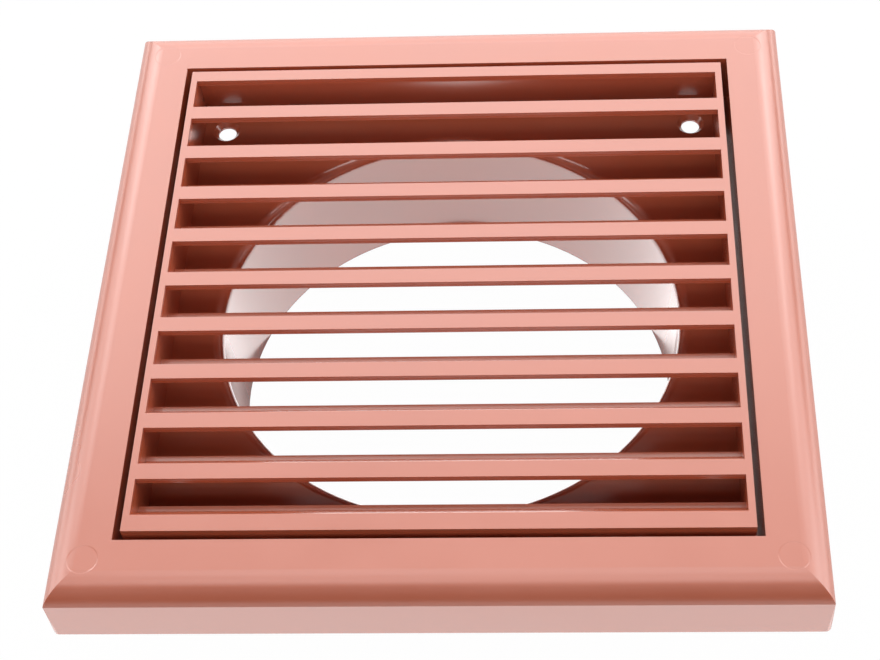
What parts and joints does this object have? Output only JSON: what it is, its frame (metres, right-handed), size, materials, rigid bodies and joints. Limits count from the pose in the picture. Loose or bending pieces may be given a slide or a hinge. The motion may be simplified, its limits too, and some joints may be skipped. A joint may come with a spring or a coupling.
{
  "type": "vent grille",
  "caption": "Square fixed louvre grille in moulded plastic, with a clipped-in louvre insert and a round collar behind it that enters a ventilation duct.",
  "frame": {"origin": "on the duct axis, in the plane of the wall that the plate lies against", "axes": "+Z out of the wall along the duct axis towards the louvres, +Y up, +X to the right seen from the front"},
  "size_m": [0.1506, 0.1506, 0.0445],
  "materials": {
    "plate_plastic": "satin moulded plastic, terracotta",
    "insert_plastic": "satin moulded plastic, terracotta"
  },
  "bodies": {
    "root": {"wall_plate": "plate_plastic", "louvre_insert": "insert_plastic"}
  },
  "joints": []
}
